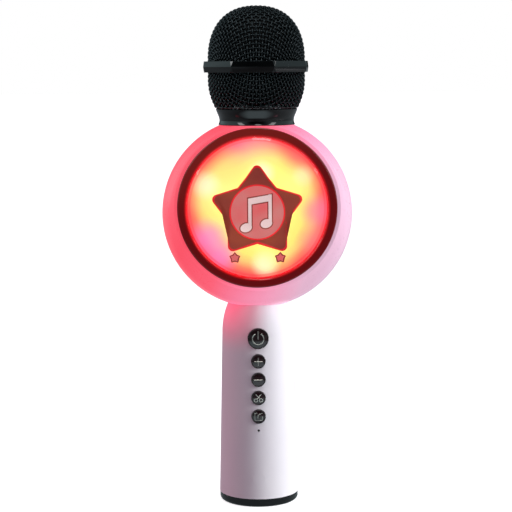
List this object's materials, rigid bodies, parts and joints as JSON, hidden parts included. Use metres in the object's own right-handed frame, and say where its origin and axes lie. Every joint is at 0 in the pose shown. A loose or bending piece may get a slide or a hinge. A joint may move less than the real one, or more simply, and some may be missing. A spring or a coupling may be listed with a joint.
{
  "type": "toy microphone",
  "caption": "Hand-held toy karaoke microphone with a wire grille head, a round light-up speaker housing and a tapered grip with push buttons.",
  "frame": {"origin": "centre of the flat base of the end cap", "axes": "+Z along the microphone's axis, from the end cap to the grille; the lit face and the buttons look along -Y; +X to the right seen from the front"},
  "size_m": [0.0979, 0.0538, 0.2566],
  "materials": {
    "black_mesh": "gloss black lacquer on woven wire",
    "black_gloss": "high gloss",
    "zinc_metal": "plated",
    "black_foam": "open-cell foam",
    "capsule_metal": "satin",
    "black_rubber": "matte",
    "black_plastic": "fine texture",
    "glow_shell": "translucent white plastic lit pink from inside",
    "screw_steel": "zinc plated",
    "maroon_gloss": "high gloss",
    "clear_lens": "clear moulded acrylic",
    "printed_film": "translucent printed film",
    "milky_diffuser": "milky, lit from behind",
    "white_plastic": "satin",
    "white_board": "white solder mask",
    "led_body": "clear resin over phosphor",
    "speaker_steel": "pressed steel, grey",
    "magnet_steel": "ferrite and plated yoke",
    "cone_paper": "black paper pulp",
    "speaker_steel_black": "satin black",
    "white_gloss": "gloss white ABS",
    "green_board": "green solder mask",
    "battery_wrap": "shrink sleeve",
    "wire_jacket": "PVC jacket",
    "button_gloss": "high gloss with raised silver marks"
  },
  "bodies": {
    "microphone": {"grille_dome": "black_mesh", "grille_basket": "black_mesh", "grille_band": "black_gloss", "thread_ring": "zinc_metal", "foam_liner": "black_foam", "mic_capsule": "capsule_metal", "capsule_boot": "black_rubber", "capsule_post": "black_plastic", "collar": "black_gloss", "disc_front_shell": "glow_shell", "disc_rear_shell": "glow_shell", "disc_screws": "screw_steel", "bezel_ring": "maroon_gloss", "face_lens": "clear_lens", "emblem_film": "printed_film", "light_diffuser": "milky_diffuser", "reflector_ring": "white_plastic", "led_board": "white_board", "led_chips": "led_body", "speaker_frame": "speaker_steel", "speaker_magnet": "magnet_steel", "speaker_cone": "cone_paper", "speaker_surround": "black_rubber", "speaker_gasket": "black_foam", "speaker_grille": "speaker_steel_black", "speaker_trim": "maroon_gloss", "grip_front_shell": "white_gloss", "grip_rear_shell": "white_gloss", "grip_screws": "screw_steel", "end_cap": "black_gloss", "cap_screws": "screw_steel", "switch_bodies": "black_plastic", "status_light_pipe": "clear_lens", "status_led": "led_body", "main_board": "green_board", "board_screws": "screw_steel", "board_chips": "black_plastic", "board_capacitors": "capsule_metal", "board_connectors": "white_plastic", "battery_cell": "battery_wrap", "battery_tray": "black_plastic", "battery_contacts": "zinc_metal", "usb_port": "zinc_metal", "charge_board": "green_board", "wires": "wire_jacket"},
    "power_key": {"power_button": "button_gloss", "power_switch_stem": "black_plastic"},
    "plus_key": {"plus_button": "button_gloss", "plus_switch_stem": "black_plastic"},
    "minus_key": {"minus_button": "button_gloss", "minus_switch_stem": "black_plastic"},
    "echo_key": {"echo_button": "button_gloss", "echo_switch_stem": "black_plastic"},
    "mode_key": {"mode_button": "button_gloss", "mode_switch_stem": "black_plastic"}
  },
  "joints": [
    {"name": "power_press", "type": "slide", "parent": "microphone", "child": "power_key", "axis": [0, 1, 0], "range_m": [0, 0.0006], "stiffness_N_per_m": 900, "springref_m": -0.0002},
    {"name": "plus_press", "type": "slide", "parent": "microphone", "child": "plus_key", "axis": [0, 1, 0], "range_m": [0, 0.0006], "stiffness_N_per_m": 900, "springref_m": -0.0002},
    {"name": "minus_press", "type": "slide", "parent": "microphone", "child": "minus_key", "axis": [0, 1, 0], "range_m": [0, 0.0006], "stiffness_N_per_m": 900, "springref_m": -0.0002},
    {"name": "echo_press", "type": "slide", "parent": "microphone", "child": "echo_key", "axis": [0, 1, 0], "range_m": [0, 0.0006], "stiffness_N_per_m": 900, "springref_m": -0.0002},
    {"name": "mode_press", "type": "slide", "parent": "microphone", "child": "mode_key", "axis": [0, 1, 0], "range_m": [0, 0.0006], "stiffness_N_per_m": 900, "springref_m": -0.0002}
  ]
}
